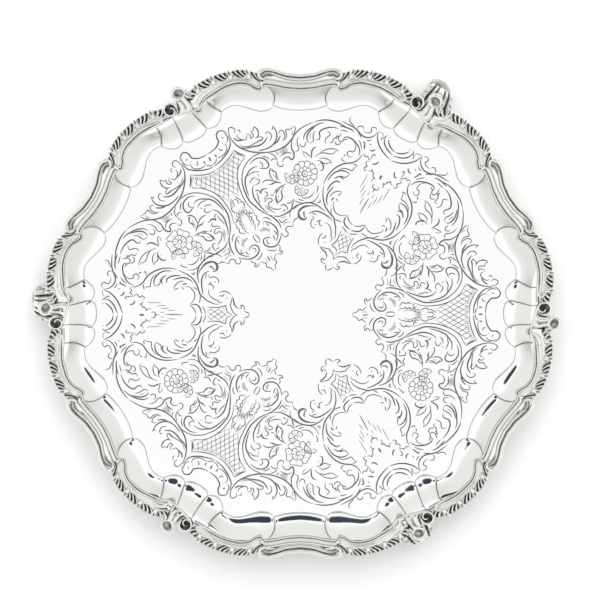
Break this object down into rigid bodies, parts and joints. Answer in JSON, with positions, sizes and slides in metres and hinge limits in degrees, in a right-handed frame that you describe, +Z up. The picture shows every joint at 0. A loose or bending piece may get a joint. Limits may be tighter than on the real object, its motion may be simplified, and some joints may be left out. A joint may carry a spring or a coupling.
{
  "type": "salver",
  "caption": "Round footed silver salver with an engraved flat well, a lobed bouge, a cast border of gadroons, reeds and scroll shells, and scroll feet.",
  "frame": {"origin": "on the table, under the middle of the plate", "axes": "+Z up out of the well; +X along the axis of a scroll shell that has no foot under it"},
  "size_m": [0.3683, 0.3474, 0.04],
  "materials": {
    "silver_sheet": "polished silver, hand engraved",
    "silver_border": "polished cast silver with darkened recesses",
    "silver_feet": "polished cast silver with darkened recesses"
  },
  "bodies": {
    "root": {"plate": "silver_sheet", "gadroon_border_01": "silver_border", "gadroon_border_02": "silver_border", "gadroon_border_03": "silver_border", "gadroon_border_04": "silver_border", "gadroon_border_05": "silver_border", "gadroon_border_06": "silver_border", "gadroon_border_07": "silver_border", "gadroon_border_08": "silver_border", "gadroon_border_09": "silver_border", "gadroon_border_10": "silver_border", "gadroon_border_11": "silver_border", "gadroon_border_12": "silver_border", "reeded_border_1": "silver_border", "reeded_border_2": "silver_border", "reeded_border_3": "silver_border", "reeded_border_4": "silver_border", "reeded_border_5": "silver_border", "reeded_border_6": "silver_border", "scroll_shell_1": "silver_border", "scroll_shell_2": "silver_border", "scroll_shell_3": "silver_border", "scroll_shell_4": "silver_border", "scroll_shell_5": "silver_border", "scroll_shell_6": "silver_border", "foot_1": "silver_feet", "foot_2": "silver_feet", "foot_3": "silver_feet"}
  },
  "joints": []
}
